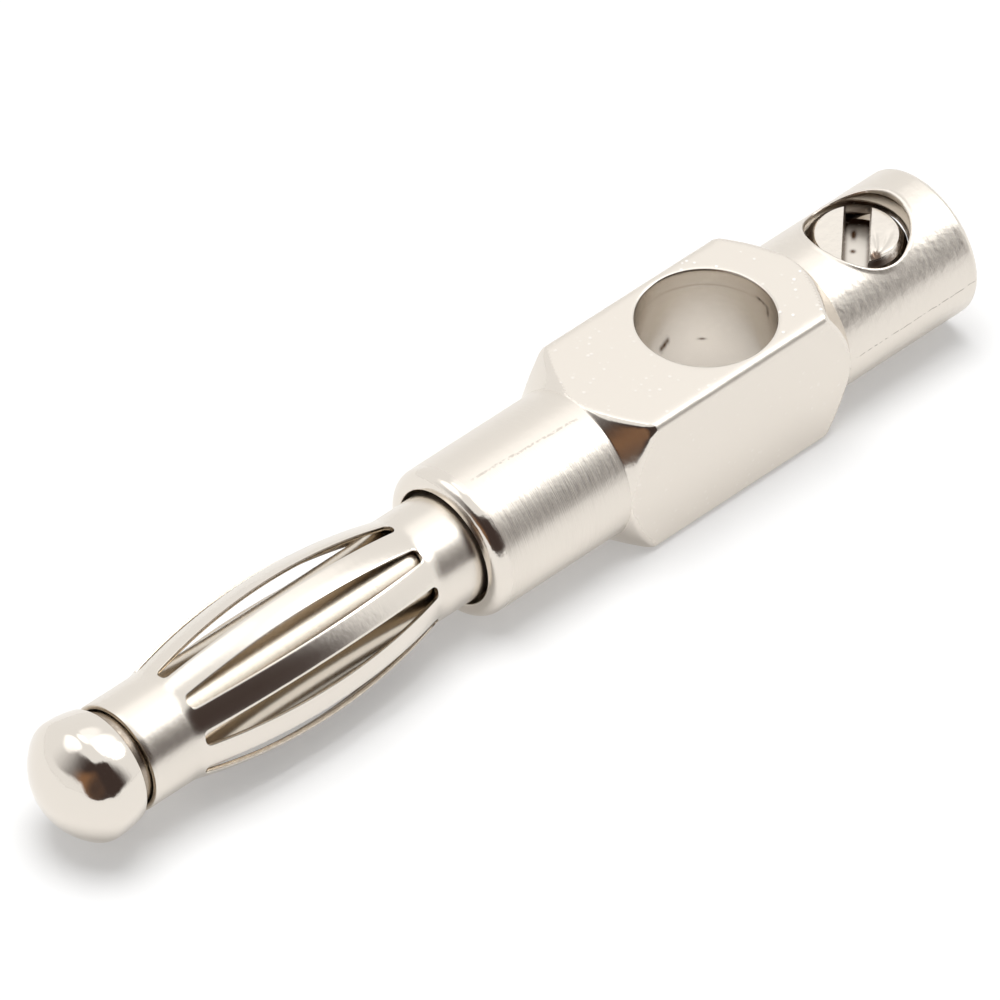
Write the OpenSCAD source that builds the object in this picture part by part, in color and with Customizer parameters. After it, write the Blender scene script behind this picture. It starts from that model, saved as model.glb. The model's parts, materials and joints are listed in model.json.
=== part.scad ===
// Stackable banana plug: a body turned from square bar, a headed pin pressed into its collar,
// a lantern spring that turns on the pin, and a slotted screw that clamps the wire.
// The plug's axis is X, with the tip towards -X and the wire entry towards +X.
// The origin is on that axis, at the front face of the collar. +Z is up. Lengths are in millimetres.

/* [Pin] */
// Diameter of the pin's shank
pin_d = 3; // [2.4:0.05:3.4]
// Depth of the shank's press seat behind the recess in the collar
pin_seat = 3.5; // [2:0.1:5]
// Chamfer on the shank's rear end
pin_chamfer = 0.25; // [0.1:0.05:0.5]
// Diameter over the belly of the pin's head
head_d = 3.82; // [3.6:0.02:4]
// Length of the head's nose in front of its belly
nose_len = 1.3; // [0.9:0.02:1.8]
// Radius of the shoulder between the nose and the belly
shoulder_r = 0.65; // [0.3:0.05:0.8]
// Length of the head behind its belly
head_back_len = 0.92; // [0.4:0.02:1.2]
// Depth of the head's back edge below its belly
head_back_drop = 0.13; // [0.05:0.01:0.15]
// Chamfer on the back edge of the head
head_chamfer = 0.1; // [0.05:0.01:0.25]

/* [Lantern spring] */
// Thickness of the spring's sheet metal
sheet_t = 0.15; // [0.1:0.01:0.25]
// Radial play between the spring's rings and the pin
spring_play = 0.05; // [0.02:0.01:0.1]
// Diameter over the bowed strips
bulge_d = 4.6; // [4:0.05:5.2]
// Number of bowed strips
strip_count = 9; // [7:1:10]
// Width of each strip
strip_w = 0.76; // [0.5:0.02:0.85]
// Length of the slots between the strips
strip_len = 8.84; // [6:0.1:12]
// Length of ring that already flares out beyond each end of the slots
flare_len = 0.12; // [0.05:0.01:0.4]
// Length of the plain ring in front of the slots
ring_front_len = 1.92; // [1:0.05:3]
// Length of the plain ring behind the slots
ring_rear_len = 2.66; // [1.4:0.02:3.2]
// Width of the butt seam where the rolled sheet meets
seam_gap = 0.06; // [0.02:0.01:0.15]
// Turn of the first slot about the plug's axis, from straight up towards -Y
slot_phase = 31.4; // [0:0.1:40]
// Gap between the head and the spring's front end
head_gap = 0.36; // [0.1:0.02:0.6]

/* [Collar] */
// Length of the round collar
collar_len = 5.1; // [4:0.05:9]
// Wall of the collar round its recess
collar_wall = 0.54; // [0.3:0.01:0.9]
// Radius on the collar's front lip
lip_r = 0.4; // [0.1:0.02:0.45]
// Depth of the recess that takes the spring's rear ring
recess_depth = 1; // [0.5:0.05:1.2]
// Gap all round between the spring's ring and the recess
recess_gap = 0.13; // [0.1:0.01:0.3]
// Gap between the spring's rear end and the floor of the recess
seat_gap = 0.05; // [0.02:0.01:0.2]

/* [Square bar] */
// Depth of the collar and the tail below the bar's flats
turn_depth = 0.03; // [0.01:0.01:0.2]
// Radius on the bar's four long edges
bar_edge_r = 0.28; // [0.1:0.01:0.4]
// Half-angle of the cones that trim the bar's corners
cone_angle = 45; // [35:1:60]
// Diameter of the cross hole that takes another plug
stack_hole_d = 4.1; // [3.6:0.05:4.4]
// Wall left at each side of the cross hole
hole_side_wall = 0.35; // [0.2:0.01:1]
// Length from the collar to the front of the cross hole
hole_front_wall = 3.12; // [1.5:0.02:6]
// Length from the back of the cross hole to the tail
hole_rear_wall = 1.46; // [1.2:0.02:5]
// Edge break at both ends of the cross hole
hole_rim = 0.06; // [0.02:0.01:0.2]

/* [Tail and clamp screw] */
// Diameter of the wire bore
wire_bore_d = 3.1; // [2.6:0.05:3.4]
// Wall of the tail round the wire bore
tail_wall = 0.82; // [0.5:0.01:1.2]
// Length of tail in front of the screw's hole
screw_front_land = 1; // [0.8:0.05:3]
// Length of tail behind the screw's hole
screw_rear_land = 1.2; // [0.8:0.05:3]
// Length of the wire bore past the screw's hole
bore_past_screw = 0.6; // [0.2:0.05:0.8]
// Countersink at the mouth of the wire bore
bore_mouth = 0.2; // [0.05:0.01:0.3]
// Radius on the tail's rear edge
tail_edge_r = 0.2; // [0.05:0.01:0.3]
// Outside diameter of the screw's thread
screw_d = 3; // [2.4:0.05:3.2]
// Radial play of the screw in its hole
screw_play = 0.03; // [0.01:0.01:0.08]
// Length of the screw
screw_len = 2.2; // [1.6:0.05:2.6]
// Chamfer on both ends of the screw
screw_chamfer = 0.28; // [0.1:0.01:0.4]
// Depth of the screw's face below the top of the tail
screw_sink = 0.48; // [0.1:0.01:0.8]
// Distance that the screw can still be driven in
screw_travel_in = 0.5; // [0.1:0.05:0.8]
// Width of the driver slot
slot_w = 0.72; // [0.4:0.02:1]
// Depth of the driver slot
slot_depth = 0.7; // [0.3:0.05:1]
// Turn of the driver slot about the screw's axis, from the plug's axis
slot_turn = 44; // [0:1:90]

/* [Hidden] */
$fn = 240;
over = 1; // how far a cutter runs past the face that it opens
drill_point = 31; // slope of a drilled hole's floor
nickel = [0.88, 0.86, 0.82];
bright_nickel = [0.93, 0.91, 0.88];

// Radii that follow from the pin outwards
pin_r = pin_d / 2;
ring_in_r = pin_r + spring_play;
ring_r = ring_in_r + sheet_t;
bulge_r = bulge_d / 2;
recess_r = ring_r + recess_gap;
collar_r = recess_r + collar_wall;
bore_r = wire_bore_d / 2;
tail_r = bore_r + tail_wall;
screw_r = screw_d / 2;

// The bar is wide enough for its cross hole and stands proud of both round ends
bar_side = max(stack_hole_d + 2 * hole_side_wall, 2 * (max(collar_r, tail_r) + turn_depth));

// Stations along the axis
spring_rear_x = recess_depth - seat_gap;
slot_rear_x = spring_rear_x - ring_rear_len;
slot_front_x = slot_rear_x - strip_len;
spring_middle_x = (slot_front_x + slot_rear_x) / 2;
spring_front_x = slot_front_x - ring_front_len;
head_back_x = spring_front_x - head_gap;
belly_x = head_back_x - head_back_len;
tip_x = belly_x - nose_len;
pin_end_x = recess_depth + pin_seat;
bar_x = collar_len;
hole_x = bar_x + hole_front_wall + stack_hole_d / 2;
tail_x = hole_x + stack_hole_d / 2 + hole_rear_wall;
screw_x = tail_x + screw_front_land + screw_r;
rear_x = screw_x + screw_r + screw_rear_land;
bore_end_x = screw_x - screw_r - bore_past_screw;

// Heights of the screw at rest
screw_top_z = tail_r - screw_sink;
screw_tip_z = screw_top_z - screw_len;

// Revolves a flat outline, drawn as radius across and station up, about the plug's axis
module turned() {
    rotate([0, 90, 0]) rotate_extrude() children();
}

// Rectangle in a turned outline, between two stations
module step(radius, from_x, to_x) {
    translate([0, from_x]) square([radius, to_x - from_x]);
}

// Waste at a corner of a turned outline, for a rounded edge. facing is 1 on a rear edge, -1 on a front one
module edge_waste(radius, x, edge_r, facing) {
    difference() {
        translate([radius - edge_r, x - (facing > 0 ? edge_r : 0)]) square([edge_r + over, edge_r]);
        translate([radius - edge_r, x - facing * edge_r]) circle(edge_r);
    }
}

// Blind drilled hole along the axis, from an open end to the start of its pointed floor
module drilled(radius, mouth_x, floor_x) {
    depth_sign = floor_x > mouth_x ? 1 : -1;
    point = radius * tan(drill_point) * depth_sign;
    turned() polygon([
        [0, mouth_x],
        [radius, mouth_x],
        [radius, floor_x],
        [0, floor_x + point]
    ]);
}

// Square section with rounded corners
module bar_section() {
    straight = bar_side - 2 * bar_edge_r;
    square([bar_side, straight], center = true);
    square([straight, bar_side], center = true);
    for (sx = [-1, 1], sy = [-1, 1])
        translate([sx * straight / 2, sy * straight / 2]) circle(bar_edge_r);
}

// Square stretch of the body, with its corners trimmed by a cone at each end
module square_bar() {
    reach = bar_side;
    front_run = (reach - collar_r) / tan(cone_angle);
    rear_run = (reach - tail_r) / tan(cone_angle);
    front_cone = [
        [0, bar_x],
        [collar_r, bar_x],
        [reach, bar_x + front_run],
        [reach, tail_x],
        [0, tail_x]
    ];
    rear_cone = [
        [0, bar_x],
        [reach, bar_x],
        [reach, tail_x - rear_run],
        [tail_r, tail_x],
        [0, tail_x]
    ];
    intersection() {
        translate([bar_x, 0, 0]) rotate([0, 90, 0]) linear_extrude(tail_x - bar_x) bar_section();
        turned() polygon(front_cone);
        turned() polygon(rear_cone);
    }
}

// Round collar and tail, joined through the middle of the bar
module round_ends() {
    turned() {
        difference() {
            step(collar_r, 0, bar_x);
            edge_waste(collar_r, 0, min(lip_r, collar_wall), -1);
        }
        step(min(collar_r, tail_r), bar_x, tail_x);
        difference() {
            step(tail_r, tail_x, rear_x);
            edge_waste(tail_r, rear_x, tail_edge_r, 1);
        }
    }
}

// Cross hole with a small edge break on the top and bottom flats
module stack_hole() {
    hole_r = stack_hole_d / 2;
    translate([hole_x, 0, 0]) {
        cylinder(h = bar_side + 2 * over, r = hole_r, center = true);
        for (side = [0, 1]) mirror([0, 0, side])
            translate([0, 0, bar_side / 2 - hole_rim])
                cylinder(h = 2 * hole_rim, r1 = hole_r, r2 = hole_r + 2 * hole_rim);
    }
}

// Recess for the spring's ring, and the pin's press seat behind it
module front_bores() {
    turned() step(recess_r, -over, recess_depth);
    drilled(pin_r, -over, pin_end_x + pin_chamfer);
}

// Wire bore from the rear end, and the screw's hole into it
module rear_bores() {
    drilled(bore_r, rear_x + over, bore_end_x);
    turned() polygon([
        [0, rear_x - bore_mouth - bore_r],
        [bore_r + bore_mouth + over, rear_x + over],
        [0, rear_x + over]
    ]);
    hole_floor_z = screw_tip_z - screw_travel_in - screw_play;
    translate([screw_x, 0, hole_floor_z])
        cylinder(h = tail_r + over - hole_floor_z, r = screw_r + screw_play);
}

// Body turned and drilled from square bar
module plug_body() {
    color(nickel) difference() {
        union() {
            round_ends();
            square_bar();
        }
        stack_hole();
        front_bores();
        rear_bores();
    }
}

// Radius of the arc with a given half-chord and rise
function arc_radius(half_chord, rise) = (half_chord * half_chord + rise * rise) / (2 * rise);

// Outline of the pin's head: a round nose that runs over a shoulder into a belly, which narrows to the back
module head_outline() {
    belly_r = head_d / 2;
    core_r = belly_r - shoulder_r;
    nose_r = (core_r * core_r + nose_len * nose_len - shoulder_r * shoulder_r) / (2 * (nose_len - shoulder_r));
    nose_x = tip_x + nose_r;
    back_r = belly_r - head_back_drop;
    side_r = arc_radius(head_back_len, head_back_drop);
    reach = 2 * nose_r / (nose_r - shoulder_r);
    intersection() {
        translate([0, nose_x]) circle(nose_r);
        polygon([[0, nose_x], [0, tip_x - over], [reach * core_r, nose_x + reach * (belly_x - nose_x)]]);
    }
    translate([core_r, belly_x]) circle(shoulder_r);
    difference() {
        intersection() {
            translate([belly_r - side_r, belly_x]) circle(side_r);
            step(belly_r + over, belly_x, head_back_x);
        }
        translate([back_r, head_back_x]) rotate(45) square(head_chamfer * sqrt(2), center = true);
    }
}

// Pin with a round head, pressed into the collar
module centre_pin() {
    color(bright_nickel) turned() {
        head_outline();
        step(pin_r, head_back_x, pin_end_x - pin_chamfer);
        polygon([
            [0, pin_end_x - pin_chamfer],
            [pin_r, pin_end_x - pin_chamfer],
            [pin_r - pin_chamfer, pin_end_x],
            [0, pin_end_x]
        ]);
    }
}

// Outline of the spring's sheet: a plain ring at each end and an arc between them
module sheet_outline() {
    bow_front_x = slot_front_x - flare_len;
    bow_rear_x = slot_rear_x + flare_len;
    bow_r = arc_radius((bow_rear_x - bow_front_x) / 2, bulge_r - ring_r);
    for (ends = [[spring_front_x, bow_front_x], [bow_rear_x, spring_rear_x]])
        translate([ring_in_r, ends[0]]) square([sheet_t, ends[1] - ends[0]]);
    intersection() {
        step(bulge_r + over, bow_front_x, bow_rear_x);
        translate([bulge_r - bow_r, spring_middle_x]) difference() {
            circle(bow_r);
            circle(bow_r - sheet_t);
        }
    }
}

// Outline of one slot: round ends where it meets the rings, wider where the strips bow apart
module slot_outline() {
    end_half = ring_r * sin(180 / strip_count) - strip_w / 2;
    middle_half = bulge_r * sin(180 / strip_count) - strip_w / 2;
    straight = strip_len / 2 - end_half;
    side_r = arc_radius(straight, middle_half - end_half);
    intersection() {
        translate([0, middle_half - side_r]) circle(side_r);
        translate([0, side_r - middle_half]) circle(side_r);
        square([2 * straight, 2 * bulge_d], center = true);
    }
    for (side = [-1, 1]) translate([side * straight, 0]) circle(end_half);
}

// Rolled sheet-metal basket with bowed strips, free to turn on the pin
module lantern_spring() {
    seam_slot = round(strip_count / 2);
    spring_len = spring_rear_x - spring_front_x;
    color(bright_nickel) difference() {
        turned() sheet_outline();
        for (k = [0 : strip_count - 1]) rotate([slot_phase + k * 360 / strip_count, 0, 0])
            translate([spring_middle_x, 0, pin_r / 2]) linear_extrude(bulge_d) slot_outline();
        rotate([slot_phase + seam_slot * 360 / strip_count, 0, 0])
            translate([spring_front_x - over, -seam_gap / 2, pin_r / 2])
                cube([spring_len + 2 * over, seam_gap, bulge_d]);
    }
}

// Headless screw with a driver slot, threaded into the top of the tail
module clamp_screw() {
    face_r = screw_r - screw_chamfer;
    color(nickel) translate([screw_x, 0, screw_tip_z]) difference() {
        rotate_extrude() polygon([
            [0, 0],
            [face_r, 0],
            [screw_r, screw_chamfer],
            [screw_r, screw_len - screw_chamfer],
            [face_r, screw_len],
            [0, screw_len]
        ]);
        rotate([0, 0, slot_turn]) translate([-screw_d, -slot_w / 2, screw_len - slot_depth])
            cube([2 * screw_d, slot_w, slot_depth + over]);
    }
}

plug_body();
centre_pin();
lantern_spring();
clamp_screw();
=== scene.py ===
# %% [markdown]
# # A stackable banana plug in plated metal
# The plug is four pieces: a body turned and drilled from square bar, a headed pin pressed into its
# collar, a lantern spring rolled from thin sheet, and a slotted screw that clamps the wire. The packed
# model gives their places and sizes. This lesson gives each piece a finely divided surface with soft
# edges, because polished metal shows every flat facet and every knife edge, and then plates them.

# %% Load the frame and read the sizes
import json

import bmesh
import bpy
import numpy as np
from mathutils import Matrix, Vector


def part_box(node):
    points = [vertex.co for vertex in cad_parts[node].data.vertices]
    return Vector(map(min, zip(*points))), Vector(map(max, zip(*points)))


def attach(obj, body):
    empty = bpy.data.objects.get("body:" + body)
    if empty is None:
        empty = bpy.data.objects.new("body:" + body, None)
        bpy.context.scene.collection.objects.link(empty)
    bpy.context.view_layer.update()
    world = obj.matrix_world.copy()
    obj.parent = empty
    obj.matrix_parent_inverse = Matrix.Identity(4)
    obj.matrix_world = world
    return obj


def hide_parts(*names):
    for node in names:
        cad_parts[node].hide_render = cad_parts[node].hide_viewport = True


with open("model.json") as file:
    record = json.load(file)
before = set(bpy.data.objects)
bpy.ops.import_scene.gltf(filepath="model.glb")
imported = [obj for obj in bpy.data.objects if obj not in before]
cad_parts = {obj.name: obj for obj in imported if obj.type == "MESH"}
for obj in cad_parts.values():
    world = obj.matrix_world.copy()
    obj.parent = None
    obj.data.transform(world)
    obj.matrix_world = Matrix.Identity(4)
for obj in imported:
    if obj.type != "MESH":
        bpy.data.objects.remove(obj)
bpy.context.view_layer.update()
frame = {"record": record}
MM = 0.001


def node_box(node):
    """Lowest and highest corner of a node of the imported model, in millimetres."""
    low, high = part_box(node)
    return np.array(low) / MM, np.array(high) / MM


body_low, body_high = node_box("plug_body")
pin_low, pin_high = node_box("centre_pin")
spring_low, spring_high = node_box("lantern_spring")
screw_low, screw_high = node_box("clamp_screw")
mounts = {mount["name"]: mount for mount in frame["record"]["mounts"]}
hole_x = mounts["cross_hole"]["pos_m"][0] / MM
hole_r = mounts["cross_hole"]["dims"]["r_mm"]
bar_half = body_high[2]
rear_x = body_high[0]
screw_x = (screw_low[0] + screw_high[0]) / 2
screw_r = (screw_high[0] - screw_low[0]) / 2
print("plug length", round(rear_x - pin_low[0], 2), "mm, cross hole at", round(hole_x, 2), "mm")

# %% [markdown]
# ## The camera
# The photograph was taken with a long lens from above the tip's left side. A camera could be aimed by
# hand until the picture looks right. Here it is worked out instead: it is three perpendicular directions
# (right, up, back) and a place, and the place follows from one known point, because the middle of the
# cross hole has to land on its own pixel, at a known scale and distance.

# %% Place the camera
VIEW_TURN = np.radians(-42.878)
VIEW_LIFT = np.radians(43.301)
VIEW_ROLL = np.radians(-0.242)
HOLE_PIXEL = np.array([705.35, 378.85])
FRAME_PIXELS = 1000
PIXELS_PER_MM = 34.836
CAMERA_DISTANCE = 404.28
SENSOR_WIDTH = 36
NEAR_CLIP = 0.01
FAR_CLIP = 20


def placing(right, up, back, place):
    """Matrix that turns an object's X, Y and Z to three directions and moves it to a place in mm."""
    matrix = np.eye(4)
    matrix[:3, :3] = np.stack([right, up, back], axis=1)
    matrix[:3, 3] = place * MM
    return Matrix(matrix.tolist())


level_back = np.array([np.sin(VIEW_TURN), -np.cos(VIEW_TURN), 0])
level_right = np.array([np.cos(VIEW_TURN), np.sin(VIEW_TURN), 0])
back = np.cos(VIEW_LIFT) * level_back + np.array([0, 0, np.sin(VIEW_LIFT)])
level_up = np.cross(back, level_right)
right = np.cos(VIEW_ROLL) * level_right + np.sin(VIEW_ROLL) * level_up
up = np.cross(back, right)
offset = (HOLE_PIXEL - FRAME_PIXELS / 2) / PIXELS_PER_MM
camera_place = np.array([hole_x, 0, 0]) - offset[0] * right + offset[1] * up + CAMERA_DISTANCE * back

camera_data = bpy.data.cameras.new("camera")
camera_data.sensor_width = SENSOR_WIDTH
camera_data.lens = PIXELS_PER_MM * CAMERA_DISTANCE / FRAME_PIXELS * SENSOR_WIDTH
camera_data.clip_start = NEAR_CLIP
camera_data.clip_end = FAR_CLIP
camera = bpy.data.objects.new("camera", camera_data)
camera.matrix_world = placing(right, up, back, camera_place)
bpy.context.scene.collection.objects.link(camera)
bpy.context.scene.camera = camera
bpy.context.scene.view_settings.view_transform = "Standard"
print("lens", round(camera_data.lens), "mm at", round(CAMERA_DISTANCE), "mm")

# %% [markdown]
# ## Grids of points
# Turned metal could be built from Blender's cylinders and cut with Boolean modifiers, but those leave
# long thin faces that shine unevenly. Here every piece is made of rectangular grids of points, each
# worked out as one array. Most are profiles carried round the plug's axis.

# %% Helpers for surfaces


def mix(a, b, share):
    """Straight line from a to b."""
    return a + (b - a) * share


def rise(value, start, run):
    """0 at start, 1 a run further on and an S-curve between: 3t^2 - 2t^3. A run below 0 goes back."""
    share = np.clip((value - start) / run, 0, 1)
    return share * share * (3 - 2 * share)


def grid_faces(rows, columns, wrap=False):
    """Four-sided faces of a grid of points, row by row. wrap also joins the last column to the first."""
    across = np.arange(columns if wrap else columns - 1)
    down = np.arange(rows - 1)[:, None]
    following = (across + 1) % columns
    corners = [down * columns + across, down * columns + following]
    corners += [(down + 1) * columns + following, (down + 1) * columns + across]
    return np.stack(corners, axis=-1)


def patch(points, wrap=False, keep=None):
    """A grid of points with its faces. keep is an array of true and false, one for each face."""
    faces = grid_faces(points.shape[0], points.shape[1], wrap)
    faces = faces.reshape(-1, 4) if keep is None else faces[keep]
    return points.reshape(-1, 3), faces


def about_axis(station, radius, angle):
    """Points round the X axis: (station, -radius sin(angle), radius cos(angle)), so angle 0 is up."""
    rows = [station, -radius * np.sin(angle), radius * np.cos(angle)]
    return np.stack(np.broadcast_arrays(*rows), axis=-1)


def lathe(profile, angles):
    """Turns each (station, radius) of a profile through the angles."""
    station, radius = np.asarray(profile, float).T[:, :, None]
    return about_axis(station, radius, angles)


def arc(centre, radius, start, end, count):
    """Points on a circle, from one angle to another in degrees, as (station, radius) pairs."""
    angle = np.radians(np.linspace(start, end, count))
    return np.stack([centre[0] + radius * np.cos(angle), centre[1] + radius * np.sin(angle)], axis=1)


def arc_radius(half_chord, height):
    """Radius of the arc with a given half-chord and height: (c^2 + h^2) / 2h."""
    return (half_chord ** 2 + height ** 2) / (2 * height)


print("a quarter arc of radius 2 ends at", arc((0, 0), 2, 0, 90, 3)[-1].round(3))

# %% [markdown]
# ## From grids to pieces
# Neighbouring grids share the points along their common edge, so welding the doubles closes a piece
# without a seam. Edges sharper than 40 degrees stay sharp in the shading, and the rest is smooth. A
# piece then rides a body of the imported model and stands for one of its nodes.

# %% Helpers for pieces
WELD = 0.0004
SHARP = np.radians(40)


def make_piece(name, patches, node, body):
    """Welds patches, in millimetres, into one closed mesh that stands for a node and rides its body."""
    starts = np.cumsum([0] + [len(points) for points, faces in patches])
    points = np.concatenate([points for points, faces in patches]) * MM
    faces = np.concatenate([faces + start for (_, faces), start in zip(patches, starts)])
    mesh = bpy.data.meshes.new(name)
    mesh.from_pydata(points.tolist(), [], faces.tolist())
    welded = bmesh.new()
    welded.from_mesh(mesh)
    bmesh.ops.remove_doubles(welded, verts=welded.verts, dist=WELD * MM)
    bmesh.ops.recalc_face_normals(welded, faces=welded.faces)
    open_edges = sum(not edge.is_manifold for edge in welded.edges)
    welded.to_mesh(mesh)
    welded.free()
    mesh.polygons.foreach_set("use_smooth", np.ones(len(mesh.polygons), bool))
    mesh.set_sharp_from_angle(angle=SHARP)
    piece = bpy.data.objects.new(name, mesh)
    bpy.context.scene.collection.objects.link(piece)
    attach(piece, body)
    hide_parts(node)
    print(name, len(mesh.polygons), "faces,", open_edges, "open edges")
    return piece


def vertex_places(piece):
    """Vertices of a piece in millimetres, as three arrays."""
    places = np.empty(3 * len(piece.data.vertices), np.float32)
    piece.data.vertices.foreach_get("co", places)
    return places.reshape(-1, 3).T / MM


def paint(piece, **layers):
    """Stores one number for each vertex under each name, for the material to read."""
    count = len(piece.data.vertices)
    for name, values in layers.items():
        layer = piece.data.attributes.new(name, "FLOAT", "POINT")
        layer.data.foreach_set("value", np.broadcast_to(values, count).astype(np.float32))


print("points within", WELD, "mm are welded")

# %% [markdown]
# ## The headed pin
# The pin is turned from rod, and its head keeps the spring from slipping off. A ball on a cylinder would
# be quick, but its reflections would give it away. So the head has three arcs: a round nose, a tight
# shoulder and a long belly that narrows to the back. Each arc meets the next with one tangent, and a
# reflection runs over the joints without a kink.

# %% Turn the pin
PIN_R = 1.5
NOSE_LEN = 1.3
SHOULDER_R = 0.65
BACK_LEN = 0.92
BACK_DROP = 0.13
HEAD_BREAK = 0.1
FILLET_RISE = 0.05
FILLET_RUN = 0.02
SHANK_START = 0.2
SHANK_ROWS = 40
PIN_CHAMFER = 0.25
PIN_COLUMNS = 192
tip_x = pin_low[0]
pin_end_x = pin_high[0]
belly_r = pin_high[2]
belly_x = tip_x + NOSE_LEN
head_back_x = belly_x + BACK_LEN

core_r = belly_r - SHOULDER_R
nose_r = (core_r ** 2 + NOSE_LEN ** 2 - SHOULDER_R ** 2) / (2 * (NOSE_LEN - SHOULDER_R))
nose_x = tip_x + nose_r
joint = 180 - np.degrees(np.arctan2(core_r, nose_x - belly_x))
side_r = arc_radius(BACK_LEN, BACK_DROP)
side_end = 90 - np.degrees(np.arcsin((BACK_LEN - HEAD_BREAK) / side_r))
shank_x = np.linspace(head_back_x + SHANK_START, pin_end_x - PIN_CHAMFER, SHANK_ROWS)
pin_profile = np.concatenate([
    arc((nose_x, 0), nose_r, 180, joint, 36),
    arc((belly_x, core_r), SHOULDER_R, joint, 90, 16)[1:],
    arc((belly_x, belly_r - side_r), side_r, 90, side_end, 16)[1:],
    arc((head_back_x - HEAD_BREAK, belly_r - BACK_DROP - HEAD_BREAK), HEAD_BREAK, 80, 0, 6),
    [(head_back_x, PIN_R + FILLET_RISE), (head_back_x + FILLET_RUN, PIN_R)],
    np.stack([shank_x, np.full(SHANK_ROWS, PIN_R)], axis=1),
    [(pin_end_x, PIN_R - PIN_CHAMFER), (pin_end_x, 0)],
])
pin_points = lathe(pin_profile, np.linspace(0, 2 * np.pi, PIN_COLUMNS, endpoint=False))
print("pin profile", len(pin_profile), "points, nose radius", round(nose_r, 2), "mm")

# %% [markdown]
# The head has been knocked about, and its shallow dents bend the reflections. A bump in the material
# could fake them, but a dent this wide is a shape. So points near each dent move inwards by a bell
# curve, measured from a direction that is seen from the head's middle.

# %% Dent the head
# Azimuth, elevation, width and depth of each dent
DENTS = [
    (-119, 31, 0.4, 0.043),
    (-131, 57, 0.22, 0.006),
    (-152, 38, 0.25, 0.008),
    (-166, 36, 0.2, 0.006),
]
DENT_CENTRE = 0.2
DENT_MARGIN = 0.3
DENT_FADE = 0.4


def direction(azimuth, elevation):
    """Unit vectors at an azimuth from +X toward +Y and an elevation, both in degrees."""
    azimuth, elevation = np.radians(azimuth), np.radians(elevation)
    level = np.cos(elevation)
    rows = [level * np.cos(azimuth), level * np.sin(azimuth), np.sin(elevation)]
    return np.stack(np.broadcast_arrays(*rows), axis=-1)


def angle_between(ways, way):
    """Angle in radians between unit vectors and one unit vector."""
    return np.arccos(np.clip(ways @ way, -1, 1))


def dent_depth(outward):
    """Sum over the dents of depth * exp(-(distance over the head / width)^2)."""
    total = 0
    for azimuth, elevation, width, depth in DENTS:
        away = angle_between(outward, direction(azimuth, elevation)) * belly_r
        total = total + depth * np.exp(-(away / width) ** 2)
    return total


from_middle = pin_points - np.array([belly_x + DENT_CENTRE, 0, 0])
outward = from_middle / np.linalg.norm(from_middle, axis=-1, keepdims=True)
dents = dent_depth(outward) * rise(pin_points[..., 0], head_back_x - DENT_MARGIN, -DENT_FADE)
pin_points = pin_points - dents[..., None] * outward
pin = make_piece("headed_pin", [patch(pin_points, wrap=True)], "centre_pin", "body")
print("deepest dent", round(dents.max(), 3), "mm")

# %% [markdown]
# ## The lantern spring
# The spring is one rolled sheet. Between its two plain rings the sheet bows out on an arc, and nine
# slots leave nine strips of even width. It could be a tube with slots cut out of it, but then the cut
# edges would be sharp and the bow would be faceted. So two functions say how far the sheet stands from
# the axis and how wide a slot is at any station.

# %% The spring's sheet and slots
SHEET = 0.15
RING_R = 1.7
BULGE_R = 2.3
STRIPS = 9
STRIP_W = 0.76
SLOT_LEN = 8.84
FLARE = 0.12
RING_REAR = 2.66
SLOT_PHASE = np.radians(31.4)
spring_front_x = spring_low[0]
spring_rear_x = spring_high[0]
slot_rear_x = spring_rear_x - RING_REAR
slot_front_x = slot_rear_x - SLOT_LEN
middle_x = (slot_front_x + slot_rear_x) / 2
pitch = 2 * np.pi / STRIPS
slot_end_r = RING_R * np.sin(pitch / 2) - STRIP_W / 2


def sheet_radius(x, depth):
    """Radius of the sheet at a station, depth below its outer face: ring, then bow, then ring."""
    half = SLOT_LEN / 2 + FLARE
    bow_r = arc_radius(half, BULGE_R - RING_R)
    away = np.minimum(np.abs(x - middle_x), half)
    bow = BULGE_R - bow_r + np.sqrt((bow_r - depth) ** 2 - away ** 2)
    return np.where(np.abs(x - middle_x) < half, bow, RING_R - depth)


def slot_half_width(x):
    """Half the width of a slot: a round end, then a long arc that is widest in the middle."""
    widest = BULGE_R * np.sin(pitch / 2) - STRIP_W / 2
    straight = SLOT_LEN / 2 - slot_end_r
    side_r = arc_radius(straight, widest - slot_end_r)
    away = np.abs(x - middle_x)
    side = widest - side_r + np.sqrt(side_r ** 2 - np.minimum(away, straight) ** 2)
    tip = np.sqrt(np.maximum(slot_end_r ** 2 - (away - straight) ** 2, 0))
    return np.where(away < straight, side, tip)


print("slot", round(2 * slot_end_r, 2), "mm wide at its ends,", STRIPS, "strips")

# %% [markdown]
# Each strip is then a closed ribbon: a flat section with rounded cut edges, carried along the bow. At a
# slot's round end the ribbon widens until it meets its neighbours. The two strips beside the butt seam
# stop half its gap short, because the two ends of the sheet don't quite meet there.

# %% Carry the strips along the bow
CUT_EDGE_R = 0.035
SEAM_GAP = 0.06
CORNER = 1 - np.sqrt(0.5)
# Inset and drop of the points that round a cut edge, as shares of its radius
ROUNDING = [(CORNER, CORNER), (0, 1)]
END_ROWS = 12
BOW_ROWS = 72
across = np.linspace(-1, 1, 13)
end_steps = slot_end_r * (1 - np.cos(np.linspace(0, np.pi / 2, END_ROWS)))
slot_x = np.concatenate([
    slot_front_x + end_steps,
    np.linspace(slot_front_x + slot_end_r, slot_rear_x - slot_end_r, BOW_ROWS)[1:-1],
    slot_rear_x - end_steps[::-1],
])
seam_slot = (STRIPS + 1) // 2
seam_angle = SLOT_PHASE + seam_slot * pitch
seam_turn = np.arcsin(SEAM_GAP / 2 / RING_R)


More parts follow.
